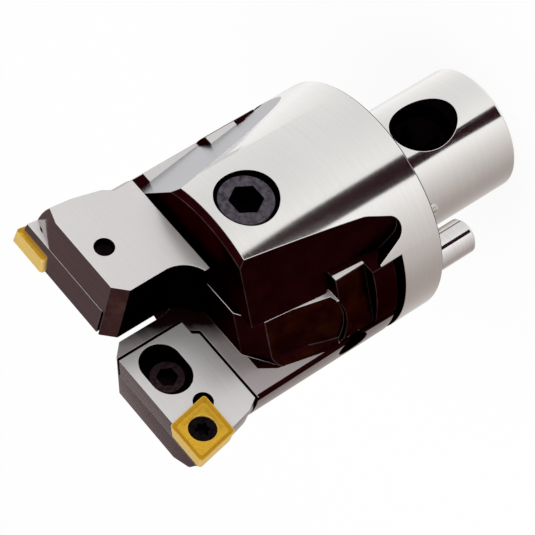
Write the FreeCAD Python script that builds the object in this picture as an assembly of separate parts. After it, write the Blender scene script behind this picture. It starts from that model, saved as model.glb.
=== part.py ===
import FreeCAD, Part
import math
import os
from FreeCAD import Placement, Rotation, Vector

# Twin-cutter rough boring head.
# The flange face is z = 0, +Z points to the cutting edges, the pilot points to -Z.
# Slide A moves out along +X, slide B along -X; the head of the clamping screw faces +Y.

# Clearances between pieces, the tolerance used to pick edges, and screw chamfers as a share of the diameter
running_fit = 0.03
thread_fit = 0.05
contact_gap = 0.02
tolerance = 0.01
screw_head_chamfer = 0.042
screw_end_chamfer = 0.1

# Head body and its locating pilot
body_dia = 68.0
jaw_front = 56.0
jaw_bevel = 1.6
flange_chamfer = 0.5
pilot_dia = 36.0
pilot_length = 40.5
pilot_chamfer = 0.8
pilot_groove_width = 1.4
pilot_groove_depth = 0.4
pilot_band = 3.0

# Cross bore in the pilot with its floating clamping pin
cross_bore_dia = 15.2
cross_bore_back = 19.1
cross_seat_dia = 20.4
cross_seat_half_angle = 52.0
float_pin_length = 25.0
float_pin_cone_dia = 11.0
float_pin_cone_angle = 90.0
ring_thickness = 2.0
ring_groove_width = 3.0

# Axial drive pin in the flange
drive_pin_dia = 10.0
drive_pin_offset = 26.0
drive_pin_out = 15.5
drive_pin_seat = 12.0
drive_pin_chamfer = 1.0
drive_seat_dia = 8.0
drive_neck_dia = 9.2
drive_neck_width = 0.8
drive_mouth_dia = 10.8
drive_mouth_depth = 0.5

# T-slot across the head, between the jaws
slot_floor = 13.0
tee_width = 35.6
tee_front = 32.4
neck_width = 24.0
relief_hole_dia = 2.4
seat_groove_height = 21.5
seat_groove_dia = 3.0

# Clamping screw M10 through the jaws
clamp_height = 43.2
clamp_shank_dia = 10.0
clamp_head_dia = 16.0
clamp_head_height = 10.0
clamp_head_recess = 1.5
clamp_counterbore_dia = 17.0
clamp_key_size = 8.0
clamp_key_depth = 6.0
clamp_hole_dia = 10.6
clamp_end = 28.0
clamp_notch_margin = 0.2

# Chip flute: a plane wall turned from Y and leaning out towards the flange
flute_turn = 24.4
flute_lean = 6.2
flute_distance = 30.9
flute_tip = (11.85, 2.1)
flute_tip_radius = 3.5
flute_top = (25.0, 33.1)
flute_shoulder = (-0.7, 28.0)
flute_foot = -15.5
flute_foot_radius = 3.5

# Flute in slide A: its rounded end, the bend in its floor, and the flat on the tee behind it
slide_flute_end = 27.5
slide_flute_centre = -6.7
slide_flute_radius = 10.2
slide_flute_bend = 44.0
slide_flute_lean = 12.4
tee_flat_distance = 30.6
tee_flat_back = 22.9

# Bright flat on the other flank of each jaw
flank_turn = 141.3
flank_lean = 5.8
flank_distance = 34.8

# Tool slides
slide_back_gap = 3.0
slide_half_gap = 0.4
neck_front = 57.2
neck_corner = 5.0
block_back = 57.6
block_front = 84.2
block_depth = 20.5
rake_level = -0.4
front_relief = 7.0
nose_flare_start = 63.3
nose_flare = ((1.5, 2.7), (3.2, 10.2), (4.4, 21.3))
inner_chamfer = 3.4
heel_reach = 5.5
heel_height = 1.16
heel_radius = 8.64
corner_bevel_start = 27.3
corner_bevel_angle = 17.5
edge_groove = 1.0

# Stop block in the middle of the T-slot and the radial adjusting screws M8
stop_width = 8.0
stop_length = 18.0
stop_front = 35.0
stop_seat = 4.0
stop_chamfer = 0.5
stop_clearance = 0.3
stop_notch_margin = 1.5
adjust_dia = 8.0
adjust_length = 23.0
adjust_offset = 4.5
adjust_height = 29.3
adjust_mouth_dia = 9.0
adjust_key_size = 4.0
adjust_key_depth = 5.0

# Cartridges
cartridge_thickness = 9.0
cartridge_back = 62.3
cartridge_inner = 4.9
cartridge_corner = (5.3, 7.2)
cartridge_outer_corner = (33.4, 3.6)
pocket_gap = 0.7
guide_width = 6.0
guide_height = 2.0
guide_from_back = 4.6

# Cartridge screws M6 in slotted counterbores, with setting screws M4
fix_x = 14.6
fix_height = 75.8
fix_slot_shift = -0.9
fix_slot_travel = 4.3
fix_dia = 5.3
fix_head_dia = 10.0
fix_head_height = 4.0
fix_counterbore_dia = 11.4
fix_counterbore_depth = 6.6
fix_hole_dia = 6.6
fix_end_recess = 1.7
fix_key_size = 5.0
fix_key_depth = 2.6
set_dia = 4.0
set_height = 71.0
set_depth = 5.0
set_key_size = 2.0
set_key_depth = 1.6
set_recess = 0.1

# Inserts: rhombus of 80 degrees with 12.7 mm inscribed circle
cutting_radius = 40.5
cutting_height = 85.2
insert_circle = 12.7
insert_angle = 80.0
insert_thickness = 4.76
insert_clearance = 7.0
insert_nose = 0.8
insert_seat_gap = 0.03
breaker_land = 0.3
breaker_slope = 0.9
breaker_floor = 0.5
breaker_depth = 0.3
corner_hole_dia = 5.4
corner_hole_shift = 1.3
insert_hole_dia = 5.5
insert_sink_dia = 7.56
insert_screw_dia = 5.0
insert_screw_head_dia = 7.3
insert_screw_recess = 0.5
insert_screw_end_gap = 0.4
insert_key_dia = 3.9
insert_key_depth = 2.0
insert_key_waist = 0.72

# Derived sizes
body_r = body_dia / 2
pilot_r = pilot_dia / 2
neck_half = neck_width / 2
tee_half = tee_width / 2
clamp_head_top = body_r - clamp_head_recess
clamp_seat = clamp_head_top - clamp_head_height
pocket_floor = rake_level - cartridge_thickness
relief_slope = math.tan(math.radians(front_relief))
heel_arc_height = block_back + heel_height + heel_radius
far = 2 * body_dia

along_x = Vector(1, 0, 0)
along_y = Vector(0, 1, 0)
along_z = Vector(0, 0, 1)


def box(x0, x1, y0, y1, z0, z1):
    return Part.makeBox(x1 - x0, y1 - y0, z1 - z0, Vector(x0, y0, z0))


def rod(dia, start, end):
    axis = end - start
    return Part.makeCylinder(dia / 2, axis.Length, start, axis)


def cone(dia0, dia1, start, end):
    axis = end - start
    return Part.makeCone(dia0 / 2, dia1 / 2, axis.Length, start, axis)


def half_space(point, normal):
    block = Part.makeBox(far, far, far, Vector(-far / 2, -far / 2, 0))
    block.Placement = Placement(point, Rotation(along_z, normal))
    return block


def half_turn(shape):
    turned = shape.copy()
    turned.rotate(Vector(), along_z, 180)
    return turned


def revolve_z(points):
    corners = [Vector(r, 0, z) for r, z in points]
    wire = Part.makePolygon(corners + corners[:1])
    return Part.Face(wire).revolve(Vector(), along_z, 360)


def xz_plate(corners, y0, y1):
    points = [Vector(x, y0, z) for x, z in corners]
    wire = Part.makePolygon(points + points[:1])
    return Part.Face(wire).extrude(Vector(0, y1 - y0, 0))


def hex_hole(size, depth, mouth, inward):
    """Hexagonal key hole that opens at mouth and runs inward."""
    radius = size / 2 / math.cos(math.radians(30))
    corners = []
    for k in range(6):
        angle = math.radians(60 * k)
        corners.append(Vector(radius * math.cos(angle), radius * math.sin(angle), 0))
    prism = Part.Face(Part.makePolygon(corners + corners[:1])).extrude(Vector(0, 0, depth))
    prism.Placement = Placement(mouth, Rotation(along_z, inward))
    return prism


def capsule_y(dia, travel, x, z, y0, y1):
    """Slot with round ends, long in X, cut along Y."""
    half = travel / 2
    middle = box(x - half, x + half, y0, y1, z - dia / 2, z + dia / 2)
    ends = [rod(dia, Vector(x + end, y0, z), Vector(x + end, y1, z)) for end in (-half, half)]
    return middle.fuse(ends)


def edges_where(shape, test):
    return [edge for edge in shape.Edges if test(edge.BoundBox)]


def rims_at(shape, point):
    """Round edges whose centre lies at the point."""
    rims = [edge for edge in shape.Edges if edge.Closed]
    return [edge for edge in rims if edge.CenterOfMass.distanceToPoint(point) < tolerance]


def clean(shape):
    tidy = shape.removeSplitter()
    if len(tidy.Solids) == 1:
        return tidy.Solids[0]
    return tidy


def leaning_normal(turn, lean):
    """Unit vector turned from X about Z, then leaning up."""
    level = math.cos(math.radians(lean))
    turned = math.radians(turn)
    return Vector(level * math.cos(turned), level * math.sin(turned), math.sin(math.radians(lean)))


# Flute wall: its normal, the two directions that lie in it, and its origin
def flute_frame():
    normal = leaning_normal(flute_turn, flute_lean)
    turn = math.radians(flute_turn)
    across = Vector(-math.sin(turn), math.cos(turn), 0)
    return normal, across, normal.cross(across), normal * flute_distance


def foot_edges(cutter):
    """Long inner edges of a flute, where its wall meets the rake level."""
    low = edges_where(cutter, lambda b: b.YMax < rake_level + tolerance and b.XMax < body_r)
    return [edge for edge in low if edge.BoundBox.ZLength > body_r]


def chip_flute():
    """Milled space in front of cutting edge A: wall, rounded run-out, foot on the rake level."""
    corners = [(flute_foot, far), (flute_top[0], far), flute_top, flute_tip, flute_shoulder]
    corners.append((flute_foot, flute_shoulder[1]))
    normal, across, up, origin = flute_frame()
    points = [origin + across * s + up * q for s, q in corners]
    cutter = Part.Face(Part.makePolygon(points + points[:1])).extrude(normal * body_r)
    tip = Part.Vertex(origin + across * flute_tip[0] + up * flute_tip[1])
    tip_edge = [edge for edge in cutter.Edges
                if edge.distToShape(tip)[0] < tolerance and abs(edge.tangentAt(0).dot(normal)) > 0.99]
    cutter = cutter.makeFillet(flute_tip_radius, tip_edge)
    cutter = cutter.common(box(-far, far, rake_level, far, -far, far))
    return cutter.makeFillet(flute_foot_radius, foot_edges(cutter))


def slide_flute():
    """The same flute where it runs into slide A: its floor rises to a round shoulder on the neck."""
    normal, across, up, origin = flute_frame()
    radius = slide_flute_radius
    centre = origin + across * slide_flute_centre + up * (slide_flute_end + radius)
    left = centre - across * radius
    right = centre + across * radius
    outline = [left, right, right + up * far, left + up * far, left]
    plate = Part.Face(Part.makePolygon(outline)).extrude(normal * body_r)
    cutter = Part.makeCylinder(radius, body_r, centre, normal).fuse(plate)
    cutter = clean(cutter).common(box(-far, far, rake_level, far, -far, far))
    cutter = cutter.makeFillet(flute_foot_radius, foot_edges(cutter))

    # Rising part of the floor, below the line where its slope changes
    bend = origin + up * ((slide_flute_bend - origin.z) / up.z)
    floor = half_space(bend, -leaning_normal(flute_turn, slide_flute_lean))
    return cutter.cut(floor.common(box(-far, far, -far, far, 0, slide_flute_bend)))


def tee_flat():
    """Flat on the tee of slide A, from its shoulder forward."""
    turn = math.radians(flute_turn)
    normal = Vector(math.cos(turn), math.sin(turn), 0)
    flat = half_space(normal * tee_flat_distance, normal)
    return flat.common(box(0, far, rake_level, far, tee_flat_back, neck_front))


def neck_corner_cut():
    """Bevel between the flute wall and the front of the neck, above the rake level."""
    normal, across, up, origin = flute_frame()
    corner = origin + across * flute_tip[0]
    corner = corner + up * ((neck_front - corner.z) / up.z)
    bevel = half_space(corner - up * neck_corner, normal + up)
    return bevel.common(box(0, far, rake_level, far, 0, far))


def on_drive_pin(z):
    return Vector(drive_pin_offset, 0, z)


def make_pilot():
    """Locating pilot, undercut at its root; its wall is in three bands, the cross bore in the middle one."""
    groove_r = pilot_r - pilot_groove_depth
    bore_z = -cross_bore_back
    profile = [(0, -pilot_length), (pilot_r - pilot_chamfer, -pilot_length)]
    profile += [(pilot_r, pilot_chamfer - pilot_length), (pilot_r, bore_z - pilot_band)]
    profile += [(pilot_r, bore_z + pilot_band), (pilot_r, -pilot_groove_width)]
    profile += [(groove_r, -pilot_groove_width), (groove_r, pilot_groove_depth), (0, pilot_groove_depth)]
    pilot = revolve_z(profile)

    # Cross bore with a conical mouth at each end
    cuts = [rod(cross_bore_dia, Vector(0, -body_r, bore_z), Vector(0, body_r, bore_z))]
    mouth_depth = (cross_seat_dia - cross_bore_dia) / 2 / math.tan(math.radians(cross_seat_half_angle))
    for side in (-1, 1):
        inner = Vector(0, side * (pilot_r - mouth_depth), bore_z)
        outer = Vector(0, side * pilot_r, bore_z)
        cuts.append(cone(cross_bore_dia, cross_seat_dia, inner, outer))
    return pilot.cut(cuts)


def make_head_body():
    undercut_r = pilot_r + pilot_groove_depth
    profile = [(0, pilot_groove_depth), (undercut_r, pilot_groove_depth), (undercut_r, 0)]
    profile += [(body_r - flange_chamfer, 0), (body_r, flange_chamfer)]
    profile += [(body_r, jaw_front - jaw_bevel), (body_r - jaw_bevel, jaw_front), (0, jaw_front)]
    body = revolve_z(profile)

    # T-slot with relief holes in the corners of its shoulders
    cuts = [box(-far, far, -tee_half, tee_half, slot_floor, tee_front)]
    cuts.append(box(-far, far, -neck_half, neck_half, slot_floor, far))
    for side in (-1, 1):
        start = Vector(-far, side * neck_half, tee_front)
        cuts.append(rod(relief_hole_dia, start, start + along_x * 2 * far))
        start = Vector(-far, side * tee_half, seat_groove_height)
        cuts.append(rod(seat_groove_dia, start, start + along_x * 2 * far))

    # Chip flute and bright flank on both jaws
    flank_normal = leaning_normal(flank_turn, flank_lean)
    flank = half_space(flank_normal * flank_distance, flank_normal)
    flank = flank.common(box(-far, far, 0, far, 0, far))
    for cutter in (chip_flute(), flank):
        cuts += [cutter, half_turn(cutter)]

    # Clamping screw: counterbore and clear hole in one jaw, thread in the other
    def on_clamp(y):
        return Vector(0, y, clamp_height)
    cuts.append(rod(clamp_counterbore_dia, on_clamp(clamp_seat), on_clamp(body_r + 1)))
    cuts.append(rod(clamp_hole_dia, on_clamp(0), on_clamp(clamp_seat + 1)))
    cuts.append(rod(clamp_shank_dia + 2 * thread_fit, on_clamp(-clamp_end - 1), on_clamp(0)))

    # Seats of the drive pin and of the stop block
    cuts.append(rod(drive_seat_dia, on_drive_pin(-1), on_drive_pin(drive_pin_seat)))
    cuts.append(rod(drive_mouth_dia, on_drive_pin(-1), on_drive_pin(drive_mouth_depth)))
    cuts.append(stop_block_shape())
    return clean(body.cut(cuts)).fuse(make_pilot()).Solids[0]


def make_drive_pin():
    pin = rod(drive_pin_dia, on_drive_pin(-drive_pin_out), on_drive_pin(-drive_neck_width))
    tip = edges_where(pin, lambda b: b.ZMax < tolerance - drive_pin_out)
    pin = pin.makeChamfer(drive_pin_chamfer, tip)
    neck = rod(drive_neck_dia, on_drive_pin(-drive_neck_width), on_drive_pin(0))
    seat = rod(drive_seat_dia, on_drive_pin(0), on_drive_pin(drive_pin_seat))
    return clean(pin.fuse([neck, seat]))


def make_float_pin():
    """Pin that floats along Y in the cross bore; the mating clamping screws push on its end cones."""
    dia = cross_bore_dia - 2 * running_fit
    half = float_pin_length / 2
    z = -cross_bore_back
    pin = rod(dia, Vector(0, -half, z), Vector(0, half, z))
    depth = float_pin_cone_dia / 2 / math.tan(math.radians(float_pin_cone_angle / 2))
    cuts = []
    for side in (-1, 1):
        inner = Vector(0, side * (half - depth), z)
        cuts.append(cone(0, float_pin_cone_dia, inner, Vector(0, side * half, z)))
    groove_dia = dia - 2 * ring_thickness
    groove = rod(dia + 1, Vector(0, -ring_groove_width / 2, z), Vector(0, ring_groove_width / 2, z))
    groove = groove.cut(rod(groove_dia, Vector(0, -far, z), Vector(0, far, z)))
    return clean(pin.cut(cuts + [groove]))


def make_float_ring():
    """Flat rubber ring in the groove of the floating pin."""
    z = -cross_bore_back
    half = ring_groove_width / 2 - contact_gap
    outer_dia = cross_bore_dia - 2 * running_fit
    inner_dia = outer_dia - 2 * ring_thickness + 2 * contact_gap
    ring = rod(outer_dia, Vector(0, -half, z), Vector(0, half, z))
    return ring.cut(rod(inner_dia, Vector(0, -far, z), Vector(0, far, z)))


def stop_block_shape():
    half_width = stop_width / 2
    half_length = stop_length / 2
    return box(-half_width, half_width, -half_length, half_length, slot_floor - stop_seat, stop_front)


def make_stop_block():
    block = stop_block_shape()
    top = edges_where(block, lambda b: b.ZMin > stop_front - tolerance)
    return block.makeChamfer(stop_chamfer, top)


def socket_screw(shank_dia, head_dia, head_height, key_size, key_depth, head_top, end):
    """Cap screw from the outer face of its head to the end of its thread."""
    inward = end - head_top
    inward.normalize()
    seat = head_top + inward * head_height
    head = rod(head_dia, head_top, seat)
    head = head.makeChamfer(head_dia * screw_head_chamfer, rims_at(head, head_top))
    shank = rod(shank_dia, seat, end)
    shank = shank.makeChamfer(shank_dia * screw_end_chamfer, rims_at(shank, end))
    return clean(head.fuse(shank).cut(hex_hole(key_size, key_depth, head_top, inward)))


def set_screw(dia, key_size, key_depth, outer, tip):
    inward = tip - outer
    inward.normalize()
    body = rod(dia, outer, tip)
    body = body.makeChamfer(dia * screw_end_chamfer, [e for e in body.Edges if e.Closed])
    return clean(body.cut(hex_hole(key_size, key_depth, outer, inward)))


def nose_profile():
    """Outer form of the slides: the body's cylinder, then flared out to carry the cartridges."""
    points = [(0, slot_floor), (body_r, slot_floor), (body_r, nose_flare_start)]
    points += [(body_r + out, nose_flare_start + up) for out, up in nose_flare]
    return points + [(0, points[-1][1])]


def relief_cut(front, level):
    """Everything in front of the plane that falls back from the cutting edge."""
    normal = Vector(0, -relief_slope, 1)
    return half_space(Vector(0, level, front), normal)


def make_slide():
    fit = running_fit
    rear = slot_floor + slide_back_gap
    stop_x = stop_width / 2 + stop_clearance
    tee = box(stop_x, far, fit - tee_half, tee_half - fit, rear, tee_front - fit)
    neck = box(slide_half_gap, far, fit - neck_half, neck_half - fit, rear, neck_front)
    slide = tee.fuse(neck)

    # Front block, with a heel that reaches past the middle and a hollow above it
    block = box(-heel_reach, far, -block_depth, rake_level, block_back, far)
    arc_x = slide_half_gap - heel_radius
    block = block.cut([box(-far, slide_half_gap, -far, far, heel_arc_height, far)])
    arc_start = Vector(arc_x, -far, heel_arc_height)
    block = block.cut([rod(2 * heel_radius, arc_start, arc_start + along_y * 2 * far)])
    block = block.cut([relief_cut(block_front, 0)])

    def is_front_edge(b):
        return b.XMax < slide_half_gap + tolerance and b.YLength > 1 and b.ZMin > heel_arc_height + 1
    block = block.makeChamfer(inner_chamfer, edges_where(block, is_front_edge))
    bevel_slope = math.tan(math.radians(corner_bevel_angle))
    bevel_point = Vector(corner_bevel_start, 0, block_front)
    block = block.cut([half_space(bevel_point, Vector(bevel_slope, -relief_slope, 1))])
    join = box(slide_half_gap, far, fit - neck_half, rake_level, rear, block_back + 1)
    slide = slide.fuse([block, join])
    slide = slide.common(revolve_z(nose_profile()))

    # Rear inner end clears the stop block, inner side clears the clamping screw
    cuts = [box(-far, stop_x, -far, far, 0, stop_front + stop_notch_margin)]
    notch_dia = clamp_hole_dia + 2 * clamp_notch_margin
    cuts.append(rod(notch_dia, Vector(0, -far, clamp_height), Vector(0, far, clamp_height)))
    cuts += [slide_flute(), tee_flat(), neck_corner_cut()]

    # Narrow groove along the outer corner at the rake level
    groove_end = cartridge_back - pocket_gap
    cuts.append(box(body_r - edge_groove, far, rake_level, rake_level + edge_groove, 0, groove_end))

    # Pocket for the cartridge, with the groove for its guide
    cuts.append(pocket_plate(0, pocket_floor, far))
    guide_z = cartridge_back + guide_from_back
    half_guide = guide_width / 2 + fit
    guide_floor = pocket_floor - guide_height - fit
    pocket_inner = cartridge_inner - pocket_gap
    cuts.append(box(pocket_inner, far, guide_floor, 0, guide_z - half_guide, guide_z + half_guide))

    # Threads of the cartridge screw, the setting screw and the adjusting screw
    thread = 2 * thread_fit
    cuts.append(rod(fix_dia + thread, Vector(fix_x, -far, fix_height), Vector(fix_x, 0, fix_height)))
    set_y = rake_level - set_depth
    set_end = Vector(cartridge_inner, set_y, set_height)
    cuts.append(rod(set_dia + thread, set_end - along_x * far, set_end))
    adjust_start = Vector(0, -adjust_offset, adjust_height)
    adjust_end = adjust_start + along_x * far
    cuts.append(rod(adjust_dia + thread, adjust_start, adjust_end))
    mouth = adjust_start + along_x * (stop_width / 2 + adjust_length)
    cuts.append(rod(adjust_mouth_dia, mouth, adjust_end))
    return clean(slide.cut(cuts))


def pocket_plate(gap, y0, y1):
    """Plan outline of the cartridge pocket; gap > 0 gives the cartridge itself."""
    inner = cartridge_inner - pocket_gap + gap
    back = cartridge_back - pocket_gap + gap
    corner_x, corner_z = cartridge_corner
    corners = [(inner, far), (inner, back + corner_z), (inner + corner_x, back), (far, back), (far, far)]
    return xz_plate(corners, y0, y1)


def insert_corners(inset):
    """Corners of the rhombus, tip first, moved in by inset on every side."""
    angle = math.radians(insert_angle)
    side = insert_circle / math.sin(angle)
    tip = (cutting_radius, cutting_height)
    heel = (tip[0] - side, tip[1])
    outer = (tip[0] - side * math.cos(angle), tip[1] - side * math.sin(angle))
    back = (heel[0] + outer[0] - tip[0], outer[1])
    middle = ((tip[0] + back[0]) / 2, (tip[1] + back[1]) / 2)
    keep = 1 - inset / (insert_circle / 2)
    corners = []
    for x, z in (tip, heel, back, outer):
        corners.append((middle[0] + (x - middle[0]) * keep, middle[1] + (z - middle[1]) * keep))
    return corners, middle


def insert_wire(inset, y):
    """Rhombus with rounded noses, as a closed wire at height y."""
    corners, middle = insert_corners(inset)
    points = [Vector(x, y, z) for x, z in corners]
    arcs = []
    for k in range(4):
        here = points[k]
        before = (points[k - 1] - here).normalize()
        after = (points[(k + 1) % 4] - here).normalize()
        half = before.getAngle(after) / 2
        reach = insert_nose / math.tan(half)
        bisector = (before + after).normalize()
        centre = here + bisector * (insert_nose / math.sin(half))
        arcs.append((here + before * reach, centre - bisector * insert_nose, here + after * reach))
    edges = []
    for k in range(4):
        start, top, end = arcs[k]
        edges.append(Part.Arc(start, top, end).toShape())
        edges.append(Part.makeLine(end, arcs[(k + 1) % 4][0]))
    return Part.Wire(edges)


def insert_block(inset_top, top, inset_bottom, bottom):
    return Part.makeLoft([insert_wire(inset_bottom, bottom), insert_wire(inset_top, top)], True, True)


def make_insert():
    taper = insert_thickness * math.tan(math.radians(insert_clearance))
    insert = insert_block(0, 0, taper, -insert_thickness)
    slope_end = breaker_land + breaker_slope
    island = slope_end + breaker_floor
    groove = insert_block(breaker_land, 0, slope_end, -breaker_depth)
    groove = groove.cut(insert_block(island + breaker_slope, 0, island, -breaker_depth))
    corners, (x, z) = insert_corners(0)
    hole = rod(insert_hole_dia, Vector(x, -far, z), Vector(x, far, z))
    sink_depth = (insert_sink_dia - insert_hole_dia) / 2 + insert_screw_recess
    sink_top = Vector(x, -insert_screw_recess, z)
    sink = cone(insert_hole_dia, insert_sink_dia, Vector(x, -sink_depth, z), sink_top)
    mouth = rod(insert_sink_dia, sink_top, sink_top + along_y)
    return clean(insert.cut([groove, hole, sink, mouth]))


def make_insert_screw():
    corners, (x, z) = insert_corners(0)
    top = -insert_screw_recess
    neck = top - (insert_screw_head_dia - insert_screw_dia) / 2 - contact_gap
    end = pocket_floor + insert_screw_end_gap
    head = cone(insert_screw_dia, insert_screw_head_dia, Vector(x, neck, z), Vector(x, top, z))
    shank = rod(insert_screw_dia, Vector(x, end, z), Vector(x, neck, z))
    screw = head.fuse(shank)
    lobes = []
    core_dia = insert_key_dia * insert_key_waist
    lobe_dia = insert_key_dia - core_dia
    for k in range(6):
        angle = math.radians(60 * k)
        at = Vector(x + core_dia / 2 * math.cos(angle), top, z + core_dia / 2 * math.sin(angle))
        lobes.append(rod(lobe_dia, at - along_y * insert_key_depth, at))
    core = rod(core_dia, Vector(x, top - insert_key_depth, z), Vector(x, top, z))
    return clean(screw.cut(lobes + [core]))


def make_cartridge():
    body = pocket_plate(pocket_gap, pocket_floor + contact_gap, rake_level)
    guide_z = cartridge_back + guide_from_back
    half_guide = guide_width / 2
    guide_floor = pocket_floor - guide_height
    guide = box(cartridge_inner, far, guide_floor, rake_level, guide_z - half_guide, guide_z + half_guide)
    body = body.fuse(guide)
    body = body.common(revolve_z(nose_profile()))
    outer_x, outer_z = cartridge_outer_corner
    reach = body_r + nose_flare[0][0] - outer_x
    bevel = xz_plate([(outer_x, cartridge_back), (outer_x + reach * 2, cartridge_back + outer_z * 2),
                      (outer_x + reach * 2, cartridge_back)], -far, far)
    cuts = [relief_cut(block_front, 0), bevel]

    # Insert seat, its corner hole and the thread of the insert screw
    seat = Part.Face(insert_wire(-insert_seat_gap, -insert_thickness)).extrude(Vector(0, far, 0))
    corners, (x, z) = insert_corners(0)
    tip, heel, back, outer = corners
    open_front = xz_plate([heel, tip, (tip[0], far), (heel[0], far)], -insert_thickness, far)
    open_side = xz_plate([outer, tip, (far, tip[1]), (far, outer[1])], -insert_thickness, far)
    hole_x = back[0] + corner_hole_shift
    hole_z = back[1] + corner_hole_shift
    corner_hole = rod(corner_hole_dia, Vector(hole_x, -insert_thickness, hole_z), Vector(hole_x, far, hole_z))
    thread = rod(insert_screw_dia + 2 * thread_fit, Vector(x, -far, z), Vector(x, far, z))
    cuts += [seat, open_front, open_side, corner_hole, thread]

    # Slotted hole and counterbore for the cartridge screw
    slot_x = fix_x + fix_slot_shift
    floor = rake_level - fix_counterbore_depth
    cuts.append(capsule_y(fix_counterbore_dia, fix_slot_travel, slot_x, fix_height, floor, far))
    cuts.append(capsule_y(fix_hole_dia, fix_slot_travel, slot_x, fix_height, -far, far))
    return clean(body.cut(cuts))


def make_cartridge_screw():
    top = rake_level - fix_counterbore_depth + contact_gap + fix_head_height
    end = fix_end_recess - block_depth
    return socket_screw(fix_dia, fix_head_dia, fix_head_height, fix_key_size, fix_key_depth,
                        Vector(fix_x, top, fix_height), Vector(fix_x, end, fix_height))


def make_setting_screw():
    y = rake_level - set_depth
    outer = Vector(slide_half_gap + set_recess, y, set_height)
    tip = Vector(cartridge_inner - contact_gap, y, set_height)
    return set_screw(set_dia, set_key_size, set_key_depth, outer, tip)


def make_adjusting_screw():
    tip_x = stop_width / 2 + contact_gap
    tip = Vector(tip_x, -adjust_offset, adjust_height)
    outer = tip + along_x * adjust_length
    return set_screw(adjust_dia, adjust_key_size, adjust_key_depth, outer, tip)


def make_clamp_screw():
    top = Vector(0, clamp_head_top + contact_gap, clamp_height)
    end = Vector(0, -clamp_end, clamp_height)
    return socket_screw(clamp_shank_dia, clamp_head_dia, clamp_head_height,
                        clamp_key_size, clamp_key_depth, top, end)


nodes = {
    "head_body": make_head_body(),
    "drive_pin": make_drive_pin(),
    "float_pin": make_float_pin(),
    "float_ring": make_float_ring(),
    "clamp_screw": make_clamp_screw(),
    "stop_block": make_stop_block(),
}
paired = {
    "slide": make_slide(),
    "adjusting_screw": make_adjusting_screw(),
    "cartridge": make_cartridge(),
    "cartridge_screw": make_cartridge_screw(),
    "setting_screw": make_setting_screw(),
    "insert": make_insert(),
    "insert_screw": make_insert_screw(),
}
for name, shape in paired.items():
    nodes[name + "_a"] = shape
    nodes[name + "_b"] = half_turn(shape)

os.makedirs("parts", exist_ok=True)
for name, shape in nodes.items():
    shape.exportStep("parts/" + name + ".step")
    print(name, "solids", len(shape.Solids), "volume", round(shape.Volume), "valid", shape.isValid())
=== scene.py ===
import math

import bmesh
import bpy
from mathutils import Matrix, Vector
from mathutils.bvhtree import BVHTree


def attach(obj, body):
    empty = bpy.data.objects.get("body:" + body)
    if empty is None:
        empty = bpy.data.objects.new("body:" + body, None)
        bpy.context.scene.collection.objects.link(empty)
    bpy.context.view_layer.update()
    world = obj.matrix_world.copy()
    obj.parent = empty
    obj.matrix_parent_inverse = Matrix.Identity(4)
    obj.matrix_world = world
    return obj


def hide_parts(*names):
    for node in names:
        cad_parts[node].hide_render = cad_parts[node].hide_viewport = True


# Looks of a twin-cutter rough boring head.
# +Z points to the cutting edges, slide A moves out along +X, the clamping screw's head faces +Y.
# Side B is side A after half a turn about Z, so its surfaces are sorted after turning them back.

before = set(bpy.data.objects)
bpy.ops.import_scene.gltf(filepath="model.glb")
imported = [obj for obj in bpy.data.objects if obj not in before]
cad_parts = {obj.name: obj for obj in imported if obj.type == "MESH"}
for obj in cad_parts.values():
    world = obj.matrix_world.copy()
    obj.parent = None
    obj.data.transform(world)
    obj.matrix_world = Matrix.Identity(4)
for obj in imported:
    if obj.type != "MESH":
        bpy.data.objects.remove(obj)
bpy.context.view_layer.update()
print("frame loaded:", len(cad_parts), "nodes")

mm = 0.001
halfTurn = Matrix.Rotation(math.pi, 3, "Z")


# Colour and node helpers
def hexColour(code):
    channels = [int(code[k:k + 2], 16) / 255 for k in (1, 3, 5)]
    linear = [c / 12.92 if c <= 0.04045 else ((c + 0.055) / 1.055) ** 2.4 for c in channels]
    return (*linear, 1)


# settings holds sockets or properties by name, or a ramp's stops; links leads from a socket's name or number
# to another node's output
def addNode(tree, kind, settings=None, links=None):
    node = tree.nodes.new(kind)
    for name, value in (settings or {}).items():
        if name == "stops":
            points = node.color_ramp.elements
            while len(points) < len(value):
                points.new(0.5)
            for point, (position, code) in zip(points, value):
                point.position = position
                point.color = hexColour(code)
        elif isinstance(name, int) or name in node.inputs:
            node.inputs[name].default_value = value
        else:
            setattr(node, name, value)
    for name, source in (links or {}).items():
        tree.links.new(source, node.inputs[name])
    return node


# A metal keeps the shader's default IOR; edge is the tint of its glancing reflection
def newFinish(name, code, roughness, metallic=1.0, edge="#FFFFFF"):
    material = bpy.data.materials.new(name)
    material.use_nodes = True
    tree = material.node_tree
    tree.nodes.clear()
    shader = addNode(tree, "ShaderNodeBsdfPrincipled",
                     {"Base Color": hexColour(code), "Metallic": metallic, "Roughness": roughness,
                      "Specular Tint": hexColour(edge)})
    addNode(tree, "ShaderNodeOutputMaterial", links={"Surface": shader.outputs["BSDF"]})
    return material, tree, shader


# Noise drawn out into strokes of the given (x, y, z) size in millimetres
def strokes(tree, size, detail=2.0):
    place = addNode(tree, "ShaderNodeTexCoord")
    scale = [1 / (length * mm) for length in size]
    mapped = addNode(tree, "ShaderNodeMapping", {"Scale": scale}, {"Vector": place.outputs["Object"]})
    noise = addNode(tree, "ShaderNodeTexNoise", {"Scale": 1.0, "Detail": detail, "Roughness": 0.6},
                    {"Vector": mapped.outputs["Vector"]})
    return noise.outputs["Fac"]


# A pattern colours the finish from low to high between two of its levels
def colourBy(tree, shader, pattern, low, high, start=0.3, end=0.7):
    ramp = addNode(tree, "ShaderNodeValToRGB", {"stops": ((start, low), (end, high))}, {"Fac": pattern})
    tree.links.new(ramp.outputs["Color"], shader.inputs["Base Color"])
    return ramp.outputs["Color"]


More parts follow.
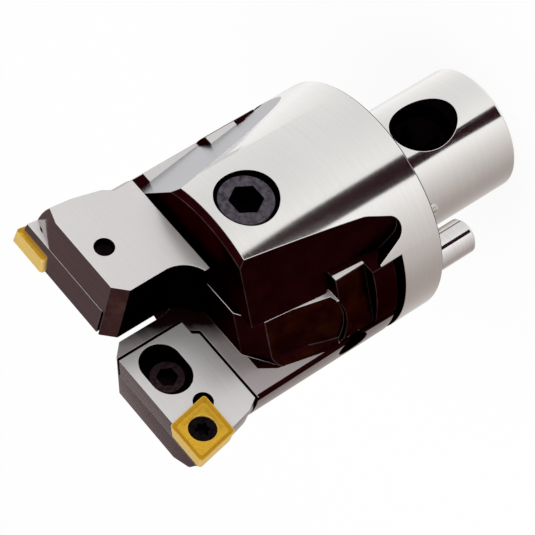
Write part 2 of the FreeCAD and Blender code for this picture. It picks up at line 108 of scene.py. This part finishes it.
# One pattern sets the gloss and another the relief, whose depth is in millimetres
def textureBy(tree, shader, gloss, roughness, height, depth, strength):
    rough = addNode(tree, "ShaderNodeMapRange", {"To Min": roughness[0], "To Max": roughness[1]},
                    {"Value": gloss})
    bump = addNode(tree, "ShaderNodeBump", {"Distance": depth * mm, "Strength": strength},
                   {"Height": height})
    tree.links.new(rough.outputs["Result"], shader.inputs["Roughness"])
    tree.links.new(bump.outputs["Normal"], shader.inputs["Normal"])


def blend(tree, first, second, share):
    part = addNode(tree, "ShaderNodeMath", {"operation": "MULTIPLY", 1: share}, {0: first})
    whole = addNode(tree, "ShaderNodeMath", {"operation": "MULTIPLY_ADD", 1: 1 - share},
                    {0: second, 2: part.outputs["Value"]})
    return whole.outputs["Value"]


# Painted dark reflection of the hollow on a ground face: full up to "from" and gone at "to", millimetres from
# the axis with a share of the height
reflectionPaintLook = {"colour": "#1C0708", "from": 45.5, "to": 52.5, "heightShare": 0.6, "ragged": 3.0}


def paintedReflectionMask(tree):
    place = addNode(tree, "ShaderNodeTexCoord")
    split = addNode(tree, "ShaderNodeSeparateXYZ", links={"Vector": place.outputs["Object"]})
    out = addNode(tree, "ShaderNodeMath", {"operation": "ABSOLUTE"}, {0: split.outputs["X"]})
    reach = addNode(tree, "ShaderNodeMath", {"operation": "MULTIPLY_ADD", 1: reflectionPaintLook["heightShare"]},
                    {0: split.outputs["Z"], 2: out.outputs["Value"]})
    ragged = addNode(tree, "ShaderNodeMath", {"operation": "MULTIPLY_ADD", 1: reflectionPaintLook["ragged"] * mm},
                     {0: strokes(tree, (6, 6, 2), 3.0), 2: reach.outputs["Value"]})
    ends = {"From Min": reflectionPaintLook["from"] * mm, "From Max": reflectionPaintLook["to"] * mm}
    worn = addNode(tree, "ShaderNodeMapRange", ends, {"Value": ragged.outputs["Value"]})
    return worn.outputs["Result"]


groundLook = {
    "roughness": (0.09, 0.14),
    "strokeLength": 16.0,  # millimetres along the wheel's path
    "strokeWidth": 0.5,    # real grit lines are under 0.05, drawn coarser so that they show
    "cloud": 26.0,         # slow patches from the wheel's wear
    "bumpDepth": 0.002,
}


# Hardened tool steel, ground: fine parallel lines along the wheel's path, bright and nearly a mirror.
# With paintReflection set, a painted dark reflection of the hollow darkens it towards the head's axis.
def groundSteel(name, direction, low, high, roughness=groundLook["roughness"], metallic=1.0,
                paintReflection=False):
    material, tree, shader = newFinish(name, high, roughness[1], metallic)
    length, width = groundLook["strokeLength"], groundLook["strokeWidth"]
    sizes = {"round": (length, length, width), "alongX": (length, width, width),
             "alongZ": (width, width, length)}
    lines = strokes(tree, sizes[direction])
    cloud = strokes(tree, [groundLook["cloud"]] * 3, 1.0)
    colour = colourBy(tree, shader, blend(tree, lines, cloud, 0.5), low, high)
    if paintReflection:
        # The painted dark reflection is mixed into the ground colour
        mixed = addNode(tree, "ShaderNodeMix", {"data_type": "RGBA", 6: hexColour(reflectionPaintLook["colour"])},
                        {0: paintedReflectionMask(tree), 7: colour})
        tree.links.new(mixed.outputs[2], shader.inputs["Base Color"])
    textureBy(tree, shader, lines, roughness, lines, groundLook["bumpDepth"], 0.2)
    return material


blackLook = {
    "roughness": (0.24, 0.40),
    "cutterMark": 1.1,     # millimetres between the end mill's passes
    "cutterLength": 20.0,
    "patch": 5.0,          # brown clouds where the film thins
    "edge": "#B8ACAC",     # an oxide film mirrors less at a glancing angle than bare steel
    "bumpDepth": 0.008,
}


# Milled steel, hot blackened: a magnetite film that looks black with a red-brown cast, faint cutter passes
def blackOxide(name, low, high):
    roughness = blackLook["roughness"]
    material, tree, shader = newFinish(name, low, roughness[1], edge=blackLook["edge"])
    length, width = blackLook["cutterLength"], blackLook["cutterMark"]
    marks = strokes(tree, (length, length, width))
    patches = strokes(tree, [blackLook["patch"]] * 3, 4.0)
    colourBy(tree, shader, patches, low, high, 0.4, 0.8)
    textureBy(tree, shader, patches, roughness, marks, blackLook["bumpDepth"], 0.3)
    return material


# Bearing-pin steel, lapped: a mirror with the faintest turning rings
def polishedSteel(name):
    material, tree, shader = newFinish(name, "#EFEDEC", 0.08)
    rings = strokes(tree, (12, 12, 0.4))
    colourBy(tree, shader, rings, "#E6E3E2", "#F3F1F0")
    textureBy(tree, shader, rings, (0.04, 0.09), rings, 0.0015, 0.2)
    return material


# Cold-headed alloy screw, blackened and oiled: bluish black, with rubbed lighter spots
def screwBlack(name, low, high, spot=1.8):
    material, tree, shader = newFinish(name, low, 0.3)
    spots = strokes(tree, [spot] * 3, 4.0)
    colourBy(tree, shader, spots, low, high, 0.3, 0.62)
    textureBy(tree, shader, spots, (0.40, 0.24), spots, 0.015, 0.3)
    return material


# Sintered carbide with a titanium nitride coat: golden, satin, finely grained
def nitrideCoat(name, low, high, roughness, metallic=0.8):
    material, tree, shader = newFinish(name, high, roughness, metallic)
    grain = strokes(tree, (0.6, 0.6, 0.6), 3.0)
    colourBy(tree, shader, grain, low, high)
    textureBy(tree, shader, grain, (roughness - 0.05, roughness + 0.05), grain, 0.003, 0.2)
    return material


# Nitrile rubber, moulded: matte black with a dusty bloom
def sealRubber(name):
    material, tree, shader = newFinish(name, "#151515", 0.6, 0.0)
    bloom = strokes(tree, (1.5, 1.5, 1.5), 3.0)
    colourBy(tree, shader, bloom, "#101010", "#242424")
    textureBy(tree, shader, bloom, (0.52, 0.68), bloom, 0.01, 0.3)
    return material


finishes = {
    "roundGround": groundSteel("cylinderGroundToolSteel", "round", "#EDEBE9", "#F6F4F2"),
    "flatGround": groundSteel("surfaceGroundToolSteel", "alongX", "#DBD8D7", "#E4E1E0", (0.26, 0.34), 0.62),
    # Ground steel of the rake-level strip, with a painted dark reflection of the hollow near the axis
    "filmGround": groundSteel("groundToolSteelPaintedReflection", "alongX", "#A79E9E", "#B3AAAA", (0.26, 0.34), 0.5,
                              paintReflection=True),
    "flankGround": groundSteel("flankMilledToolSteel", "alongZ", "#A6A7AD", "#B4B4B9", (0.2, 0.28)),
    "endGround": groundSteel("endGroundToolSteel", "alongX", "#B9B0B1", "#CFC8C8", (0.14, 0.2)),
    "worn": groundSteel("outerGroundToolSteel", "round", "#978D8F", "#B3A9AA", (0.2, 0.28)),
    "black": blackOxide("blackenedMilledSteel", "#200408", "#2C0A0C"),
    # Lighter edge finish: partly rubbed wear, partly a painted highlight along the edges
    "rubbed": blackOxide("blackenedEdgeWearHighlightSteel", "#38282A", "#5E4F51"),
    "brown": blackOxide("brownedMilledSteel", "#4E3435", "#6A4E4C"),
    "russet": blackOxide("brownedFluteSteel", "#200503", "#3A160A"),
    # Near-black copy of the blackened steel: painted shade inside bores, hollows and pockets
    "bore": blackOxide("blackenedSteelPaintedHollowShade", "#050203", "#0C0506"),
    "polished": polishedSteel("lappedPinSteel"),
    "screw": screwBlack("blackenedScrewSteel", "#342E36", "#645E67"),
    "darkScrew": screwBlack("oiledScrewSteel", "#1A1113", "#3C2D31", 1.0),
    "smallScrew": screwBlack("oiledInsertScrewSteel", "#0B0809", "#1D1719", 0.8),
    # Painted shade for the floors and walls of screw key holes
    "darkSocket": screwBlack("socketSteelPaintedShade", "#090608", "#150C0F"),
    "coat": nitrideCoat("titaniumNitrideCoat", "#DCA727", "#EEBD3C", 0.42),
    "coatGroove": nitrideCoat("titaniumNitrideGrooveCoat", "#BC8A1C", "#CF9A28", 0.36),
    "coatFlank": nitrideCoat("titaniumNitrideFlankCoat", "#F0C866", "#F8DA88", 0.5, 0.45),
    "rubber": sealRubber("nitrileRubber"),
}
print("finishes made:", len(finishes))


# Machined pieces: a copy of each CAD solid, its faces sorted by finish, its small edges broken
dressing = {"edgeBreak": 0.18, "sharpAngle": 28.0, "shadeAngle": 36.0, "flatAngle": 0.6,
            "weld": 0.0005, "flatShare": 0.999, "sideShare": 0.9}
# Pieces whose edges are broken by another width than dressing's, in millimetres
edgeBreaks = {"drive_pin": 0.1, "float_ring": 0.3, "clamp_screw": 0.12, "cartridge": 0.07, "insert": 0.06,
              "insert_screw": 0.05, "cartridge_screw": 0.08, "setting_screw": 0.05,
              "adjusting_screw": 0.08}
# Bevel faces take a lighter finish: partly rubbed wear, partly a painted highlight along the edges
wornAndHighlitEdges = {"black": "rubbed", "russet": "rubbed", "brown": "rubbed", "coat": "coatFlank"}


# Black band around the slide's outer corner at the rake level: from x outwards, and from y up to the level
band = {"x": 33.0, "y": -1.3}


def inBand(place):
    return place.x > band["x"] and band["y"] < place.y < 0


# A finish can end at a line on a face. Faces that point along Y are cut there, or, for a line at a level of y,
# the faces that point along X.
def cutFaces(work, lines, turn):
    for place, across in lines:
        if across[1]:
            flats = [face for face in work.faces if abs(face.normal.x) > dressing["sideShare"]]
        else:
            flats = [face for face in work.faces if abs(face.normal.y) > dressing["flatShare"]]
        edges = {edge for face in flats for edge in face.edges}
        corners = {vert for face in flats for vert in face.verts}
        bmesh.ops.bisect_plane(work, geom=[*corners, *edges, *flats], dist=dressing["weld"] * mm,
                               plane_co=turn @ Vector(place) * mm, plane_no=turn @ Vector(across))


def dressPiece(node, body, choose, side="a", lines=()):
    edgeBreak = edgeBreaks.get(node.removesuffix("_" + side), dressing["edgeBreak"])
    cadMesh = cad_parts[node].data
    work = bmesh.new()
    work.from_mesh(cadMesh)
    bmesh.ops.remove_doubles(work, verts=work.verts, dist=dressing["weld"] * mm)
    bmesh.ops.dissolve_limit(work, angle_limit=math.radians(dressing["flatAngle"]),
                             verts=work.verts, edges=work.edges)
    keys = []
    turn = halfTurn if side == "b" else Matrix.Identity(3)

    def sortFaces(faces):
        for face in faces:
            key = choose(turn @ face.calc_center_median() / mm, turn @ face.normal)
            if key not in keys:
                keys.append(key)
            face.material_index = keys.index(key)
            face.smooth = True

    sortFaces(work.faces)
    sharp = [edge for edge in work.edges
             if edge.is_manifold and edge.calc_face_angle(0) > math.radians(dressing["sharpAngle"])]
    rounded = bmesh.ops.bevel(work, geom=sharp, offset=edgeBreak * mm, offset_type="OFFSET", segments=2,
                              profile=0.5, affect="EDGES", clamp_overlap=False, material=-1)
    solid = BVHTree.FromPolygons([vert.co for vert in cadMesh.vertices],
                                 [face.vertices for face in cadMesh.polygons])
    for vert in work.verts:    # where three tight edges meet, a corner can shoot past the solid
        nearest, _, _, away = solid.find_nearest(vert.co)
        if away > edgeBreak * mm:
            vert.co = nearest
    # Broken edges get the lighter finish: partly wear, partly a painted highlight
    for face in rounded["faces"]:
        face.smooth = True
        key = keys[face.material_index]
        if key in wornAndHighlitEdges:
            if wornAndHighlitEdges[key] not in keys:
                keys.append(wornAndHighlitEdges[key])
            face.material_index = keys.index(wornAndHighlitEdges[key])
    if lines:
        cutFaces(work, lines, turn)
        sortFaces([face for face in work.faces if abs(face.normal.y) > dressing["flatShare"]
                   or inBand(turn @ face.calc_center_median() / mm)])
    mesh = bpy.data.meshes.new(node + "_dressed")
    work.to_mesh(mesh)
    work.free()
    mesh.set_sharp_from_angle(angle=math.radians(dressing["shadeAngle"]))
    for key in keys:
        mesh.materials.append(finishes[key])
    piece = bpy.data.objects.new(node + "_dressed", mesh)
    bpy.context.scene.collection.objects.link(piece)
    even = piece.modifiers.new("evenShading", "WEIGHTED_NORMAL")
    even.keep_sharp = True
    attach(piece, body)
    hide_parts(node)
    return piece


# Sizes in millimetres and degrees; the names in Facing are the least share of a face's normal in a direction
bodyZones = {"bodyRadius": 34.0, "pilotRadius": 18.0, "slack": 1.2, "pilotTop": -0.1, "pilotEnd": -39.0,
             "flankTurn": 141.3, "teeFront": 33.0, "counterboreHeight": 43.2, "counterboreRadius": 8.6,
             "counterboreFloor": 12.2, "pilotFacing": 0.95, "bodyFacing": 0.9, "flankFacing": 0.97,
             "sideFacing": 0.99}


def chooseHeadBody(place, normal):
    outward = Vector((place.x, place.y, 0))
    radius = outward.length
    facing = normal.dot(outward.normalized())
    if place.z < bodyZones["pilotTop"]:
        if radius > bodyZones["pilotRadius"] - bodyZones["slack"] and facing > bodyZones["pilotFacing"]:
            return "roundGround"
        # Inside the pilot's cross hole: painted shade
        return "roundGround" if place.z < bodyZones["pilotEnd"] else "bore"
    if normal.z < -bodyZones["bodyFacing"] and place.z < bodyZones["slack"]:
        return "flatGround"
    if radius > bodyZones["bodyRadius"] - bodyZones["slack"] and facing > bodyZones["bodyFacing"]:
        return "roundGround"
    turn = math.radians(bodyZones["flankTurn"])
    if abs(normal.dot(Vector((math.cos(turn), math.sin(turn), 0)))) > bodyZones["flankFacing"]:
        return "flankGround"
    if abs(normal.y) > bodyZones["sideFacing"] and place.z < bodyZones["teeFront"]:
        return "flatGround"
    # The clamp screw's counterbore gets painted shade
    fromScrew = Vector((place.x, place.z - bodyZones["counterboreHeight"])).length
    if fromScrew < bodyZones["counterboreRadius"] and abs(place.y) > bodyZones["counterboreFloor"]:
        return "bore"
    return "black"


slideZones = {"rakeLevel": -0.4, "rakeSlack": 1.0, "blockFront": 70.0, "blockBack": 57.7, "hollow": 6.0,
              "neckSide": 11.0, "teeSide": 15.0, "outerSide": 20.0, "fluteEnd": 30.0, "sideFacing": 0.99,
              "endFacing": 0.9, "slopeFacing": 0.4, "outerFacing": 0.88, "fluteFacing": 0.85}
# Lines where a ground face of the slide gives way to black: a point on each, and the way to its ground side
bandEdges = [((band["x"], 0, 0), (-1, 0, 0)), ((0, band["y"], 0), (0, -1, 0))]
fluteFoot = [((22, 0, 56.4), (0, 0, 1)), ((28.3, 0, 54.4), (0.832, 0, 0.555)),
             ((31.3, 0, 46), (0.973, 0, 0.232))]
teeStep = ((0, 0, 22.8), (0, 0, 1))
teeStrip = ((24.2, 0, 27.4), (0.996, 0, 0.087))
teeRear = ((28.9, 0, 0), (1, 0, 0))
neckTop = ((0, 0, 50), (0, 0, -1))


def beyond(place, line):
    return (place - Vector(line[0])).dot(Vector(line[1])) > 0


def chooseSlide(place, normal):
    outward = Vector((place.x, place.y, 0)).normalized()
    if inBand(place):
        return "black"
    nearRake = abs(place.y) < slideZones["rakeSlack"]
    alongY = abs(normal.y) > slideZones["sideFacing"]
    if alongY and normal.y > 0 and nearRake and place.y < 0:
        # A ground rake-level face gets the painted dark reflection of the hollow near the axis
        return "filmGround" if any(beyond(place, line) for line in fluteFoot) else "russet"
    if alongY and abs(place.y) > slideZones["teeSide"]:
        if place.z > slideZones["blockBack"]:
            return "flatGround"
        return "flatGround" if beyond(place, teeStrip if beyond(place, teeStep) else teeRear) else "black"
    if alongY and abs(place.y) > slideZones["neckSide"]:
        return "flatGround" if beyond(place, neckTop) else "black"
    if normal.y > slideZones["endFacing"] and nearRake:
        return "russet"
    if normal.z > slideZones["endFacing"] and place.z > slideZones["blockFront"]:
        return "endGround"
    slope = slideZones["slopeFacing"]
    if normal.z > slope and normal.x < -slope and place.z > slideZones["blockFront"]:
        return "brown"
    if normal.dot(outward) > slideZones["outerFacing"] and place.x > slideZones["outerSide"] and place.y < 0:
        return "worn"
    # The slide's hollow gets painted shade
    if place.x < slideZones["hollow"] and place.z > slideZones["blockBack"]:
        return "bore"
    onFlute = place.y > slideZones["rakeLevel"] and place.z > slideZones["fluteEnd"]
    return "russet" if onFlute and normal.x > slideZones["fluteFacing"] else "black"


insertZones = {"x": 32.93, "z": 78.85, "flankShare": 0.3, "slopeShare": 0.98}


# The chip groove's outer slope, which faces the insert's middle at (x, z), lies in shade
def chooseInsert(place, normal):
    if abs(normal.y) < insertZones["flankShare"]:
        return "coatFlank"
    inward = Vector((insertZones["x"] - place.x, 0, insertZones["z"] - place.z))
    return "coatGroove" if normal.y < insertZones["slopeShare"] and normal.dot(inward) > 0 else "coat"


cartridgeZones = {"underside": -9.0, "topSide": -1.0, "endStart": 80.0, "outerSide": 30.0,
                  "sideFacing": 0.9, "endFacing": 0.8, "outerFacing": 0.5}


def chooseCartridge(place, normal):
    within = cartridgeZones["underside"] < place.y < cartridgeZones["topSide"]
    if abs(normal.y) > cartridgeZones["sideFacing"] and not within:
        return "flatGround"
    if normal.z > cartridgeZones["endFacing"] and place.z > cartridgeZones["endStart"]:
        return "endGround"
    if normal.x > cartridgeZones["outerFacing"] and place.x > cartridgeZones["outerSide"]:
        return "worn"
    # Cartridge faces inside the pocket get painted shade
    return "bore" if place.y > cartridgeZones["underside"] else "black"


def always(key):
    return lambda place, normal: key


# The floor and walls of a screw's key hole get painted shade, darker than its head; the screw stands along Y
def socketShade(headKey, keyRadius, x, z, floorLevel):
    def choose(place, normal):
        away = Vector((place.x - x, place.z - z)).length
        inside = abs(normal.y) < 0.5 or place.y < floorLevel    # a wall, or the floor
        return "darkSocket" if away < keyRadius and inside else headKey
    return choose


dressPiece("head_body", "head", chooseHeadBody)
dressPiece("drive_pin", "head", always("polished"))
dressPiece("stop_block", "head", always("flatGround"))
# The floating pin sits deep in its hole and gets painted shade
dressPiece("float_pin", "floating_pin", always("bore"))
dressPiece("float_ring", "floating_pin", always("rubber"))
# Key hole of each kind of screw: radius, x and z of its axis, and a level between its floor and the head's top
screws = {"clamp": (4.7, 0, 43.2, 28.0), "insert": (2.2, 32.93, 78.85, -1.5),
          "cartridge": (3.0, 14.6, 75.8, -4.0)}
dressPiece("clamp_screw", "clamp", socketShade("screw", *screws["clamp"]))
slideLines = [*bandEdges, *fluteFoot, teeStep, teeStrip, teeRear, neckTop]
for side in "ab":
    dressPiece("slide_" + side, "tool_slide_" + side, chooseSlide, side, slideLines)
    dressPiece("cartridge_" + side, "tool_cartridge_" + side, chooseCartridge, side)
    dressPiece("insert_" + side, "tool_cartridge_" + side, chooseInsert, side)
    dressPiece("insert_screw_" + side, "insert_fixing_" + side,
               socketShade("smallScrew", *screws["insert"]), side)
    dressPiece("cartridge_screw_" + side, "cartridge_fixing_" + side,
               socketShade("darkScrew", *screws["cartridge"]), side)
    # The setting screw sits in the slide's hollow and gets painted shade
    dressPiece("setting_screw_" + side, "cartridge_setter_" + side, always("bore"), side)
    dressPiece("adjusting_screw_" + side, "slide_adjuster_" + side, always("screw"), side)
print("pieces dressed")


# Studio: white backdrop, and soft surroundings that the steel mirrors, dimmer towards the camera's lower right
studio = {
    "floorHeight": -0.0405,
    "floorSize": 6.0,
    "floorGlow": 0.86,
    "fillStrength": 0.9,
    "keyPower": 6.0,
    "dimSide": (0.656, -0.755, 0.0),
    "tones": ((0.05, "#E4E4E4"), (0.20, "#F2F2F1"), (0.40, "#FFFFFF"), (0.65, "#DEDBD9"),
              (0.80, "#C9C5C3"), (0.875, "#BDB6B2"), (0.95, "#A89E9A")),
}


def softWorld():
    world = bpy.data.worlds.new("softStudio")
    bpy.context.scene.world = world
    world.use_nodes = True
    tree = world.node_tree
    tree.nodes.clear()
    place = addNode(tree, "ShaderNodeTexCoord")
    towards = addNode(tree, "ShaderNodeVectorMath", {"operation": "DOT_PRODUCT", 1: studio["dimSide"]},
                      {0: place.outputs["Generated"]})
    share = addNode(tree, "ShaderNodeMapRange", {"From Min": -1.0, "From Max": 1.0},
                    {"Value": towards.outputs["Value"]})
    ramp = addNode(tree, "ShaderNodeValToRGB", {"stops": studio["tones"]}, {"Fac": share.outputs["Result"]})
    mirrored = addNode(tree, "ShaderNodeBackground", {"Strength": 1.0}, {"Color": ramp.outputs["Color"]})
    white = addNode(tree, "ShaderNodeBackground", {"Color": (1, 1, 1, 1), "Strength": 1.0})
    fill = addNode(tree, "ShaderNodeBackground",
                   {"Color": (1, 1, 1, 1), "Strength": studio["fillStrength"]})
    path = addNode(tree, "ShaderNodeLightPath")
    byGloss = addNode(tree, "ShaderNodeMixShader", links={
        "Fac": path.outputs["Is Glossy Ray"], 1: fill.outputs["Background"], 2: mirrored.outputs["Background"]})
    seen = addNode(tree, "ShaderNodeMath", {"operation": "MAXIMUM"},
                   {0: path.outputs["Is Camera Ray"], 1: path.outputs["Is Transmission Ray"]})
    final = addNode(tree, "ShaderNodeMixShader", links={
        "Fac": seen.outputs["Value"], 1: byGloss.outputs["Shader"], 2: white.outputs["Background"]})
    addNode(tree, "ShaderNodeOutputWorld", links={"Surface": final.outputs["Shader"]})


def paleFloor():
    mesh = bpy.data.meshes.new("paleFloor")
    work = bmesh.new()
    bmesh.ops.create_grid(work, x_segments=1, y_segments=1, size=studio["floorSize"] / 2)
    bmesh.ops.translate(work, verts=work.verts, vec=(0, 0, studio["floorHeight"]))
    work.to_mesh(mesh)
    work.free()
    floor = bpy.data.objects.new("paleFloor", mesh)
    bpy.context.scene.collection.objects.link(floor)
    material = bpy.data.materials.new("paleStudioFloor")
    material.use_nodes = True
    tree = material.node_tree
    tree.nodes.clear()
    matte = addNode(tree, "ShaderNodeBsdfDiffuse", {"Color": (0.9, 0.9, 0.9, 1)})
    glow = addNode(tree, "ShaderNodeEmission", {"Color": (1, 1, 1, 1), "Strength": 1.0})
    path = addNode(tree, "ShaderNodeLightPath")
    share = addNode(tree, "ShaderNodeMath", {"operation": "MULTIPLY", 1: studio["floorGlow"]},
                    {0: path.outputs["Is Camera Ray"]})
    blended = addNode(tree, "ShaderNodeMixShader", links={
        "Fac": share.outputs["Value"], 1: matte.outputs["BSDF"], 2: glow.outputs["Emission"]})
    addNode(tree, "ShaderNodeOutputMaterial", links={"Surface": blended.outputs["Shader"]})
    mesh.materials.append(material)
    floor.visible_glossy = False


def softLamp(name, place, target, size, power):
    data = bpy.data.lights.new(name, "AREA")
    data.shape = "DISK"
    data.size = size
    data.energy = power
    lamp = bpy.data.objects.new(name, data)
    lamp.location = place
    lamp.rotation_euler = (Vector(target) - Vector(place)).to_track_quat("-Z", "Y").to_euler()
    bpy.context.scene.collection.objects.link(lamp)
    lamp.visible_glossy = False


# Studio cards that only the steel mirrors: outline points are metres across and up from the centre
cards = {
    "streakCard": {
        "centre": (0.2001, 0.5223, -0.2682),
        "across": (0.935, -0.354, 0.0),
        "up": (0.17, 0.449, 0.877),
        "outline": ((-0.062, -0.30), (0.132, -0.30), (0.132, 0.040), (0.005, 0.125), (-0.062, 0.045)),
        "tone": "#28141A",
    },
    "ceilingCard": {
        "centre": (-0.331, -0.678, 0.490),
        "across": (0.8988, -0.4384, 0.0),
        "up": (0.2388, 0.4895, 0.8387),
        "outline": ((-0.48, -0.38), (0.48, -0.38), (0.48, 0.46), (-0.48, 0.46)),
        "tone": "#5F4D4E",
    },
}


def studioCard(name, card):
    across, up = Vector(card["across"]), Vector(card["up"])
    work = bmesh.new()
    corners = [work.verts.new(Vector(card["centre"]) + across * a + up * b) for a, b in card["outline"]]
    work.faces.new(corners)
    mesh = bpy.data.meshes.new(name)
    work.to_mesh(mesh)
    work.free()
    panel = bpy.data.objects.new(name, mesh)
    bpy.context.scene.collection.objects.link(panel)
    material = bpy.data.materials.new(name + "Paint")
    material.use_nodes = True
    tree = material.node_tree
    tree.nodes.clear()
    glow = addNode(tree, "ShaderNodeEmission", {"Color": hexColour(card["tone"]), "Strength": 1.0})
    addNode(tree, "ShaderNodeOutputMaterial", links={"Surface": glow.outputs["Emission"]})
    mesh.materials.append(material)
    panel.visible_camera = False
    panel.visible_diffuse = False
    panel.visible_shadow = False


softWorld()
paleFloor()
softLamp("keyLamp", (0.5, 0.6, 1.2), (0, 0, 0.02), 1.2, studio["keyPower"])
for name, card in cards.items():
    studioCard(name, card)


# Camera at the photograph's viewing angle
cameraSetup = {
    "place": (0.25507, 0.55468, 0.31391),
    "right": (0.61958, 0.11044, -0.77713),
    "up": (-0.68986, 0.54892, -0.47199),
    "lens": 171.93,
    "sensor": 36.0,
}
cameraData = bpy.data.cameras.new("photoCamera")
cameraData.lens = cameraSetup["lens"]
cameraData.sensor_width = cameraSetup["sensor"]
cameraData.clip_start = 0.01
cameraData.clip_end = 20
camera = bpy.data.objects.new("photoCamera", cameraData)
right, up = Vector(cameraSetup["right"]), Vector(cameraSetup["up"])
camera.matrix_world = Matrix.Translation(cameraSetup["place"]) @ Matrix(
    (right, up, right.cross(up))).transposed().to_4x4()
bpy.context.scene.collection.objects.link(camera)
bpy.context.scene.camera = camera
bpy.context.scene.view_settings.view_transform = "Standard"

print("studio and camera set")
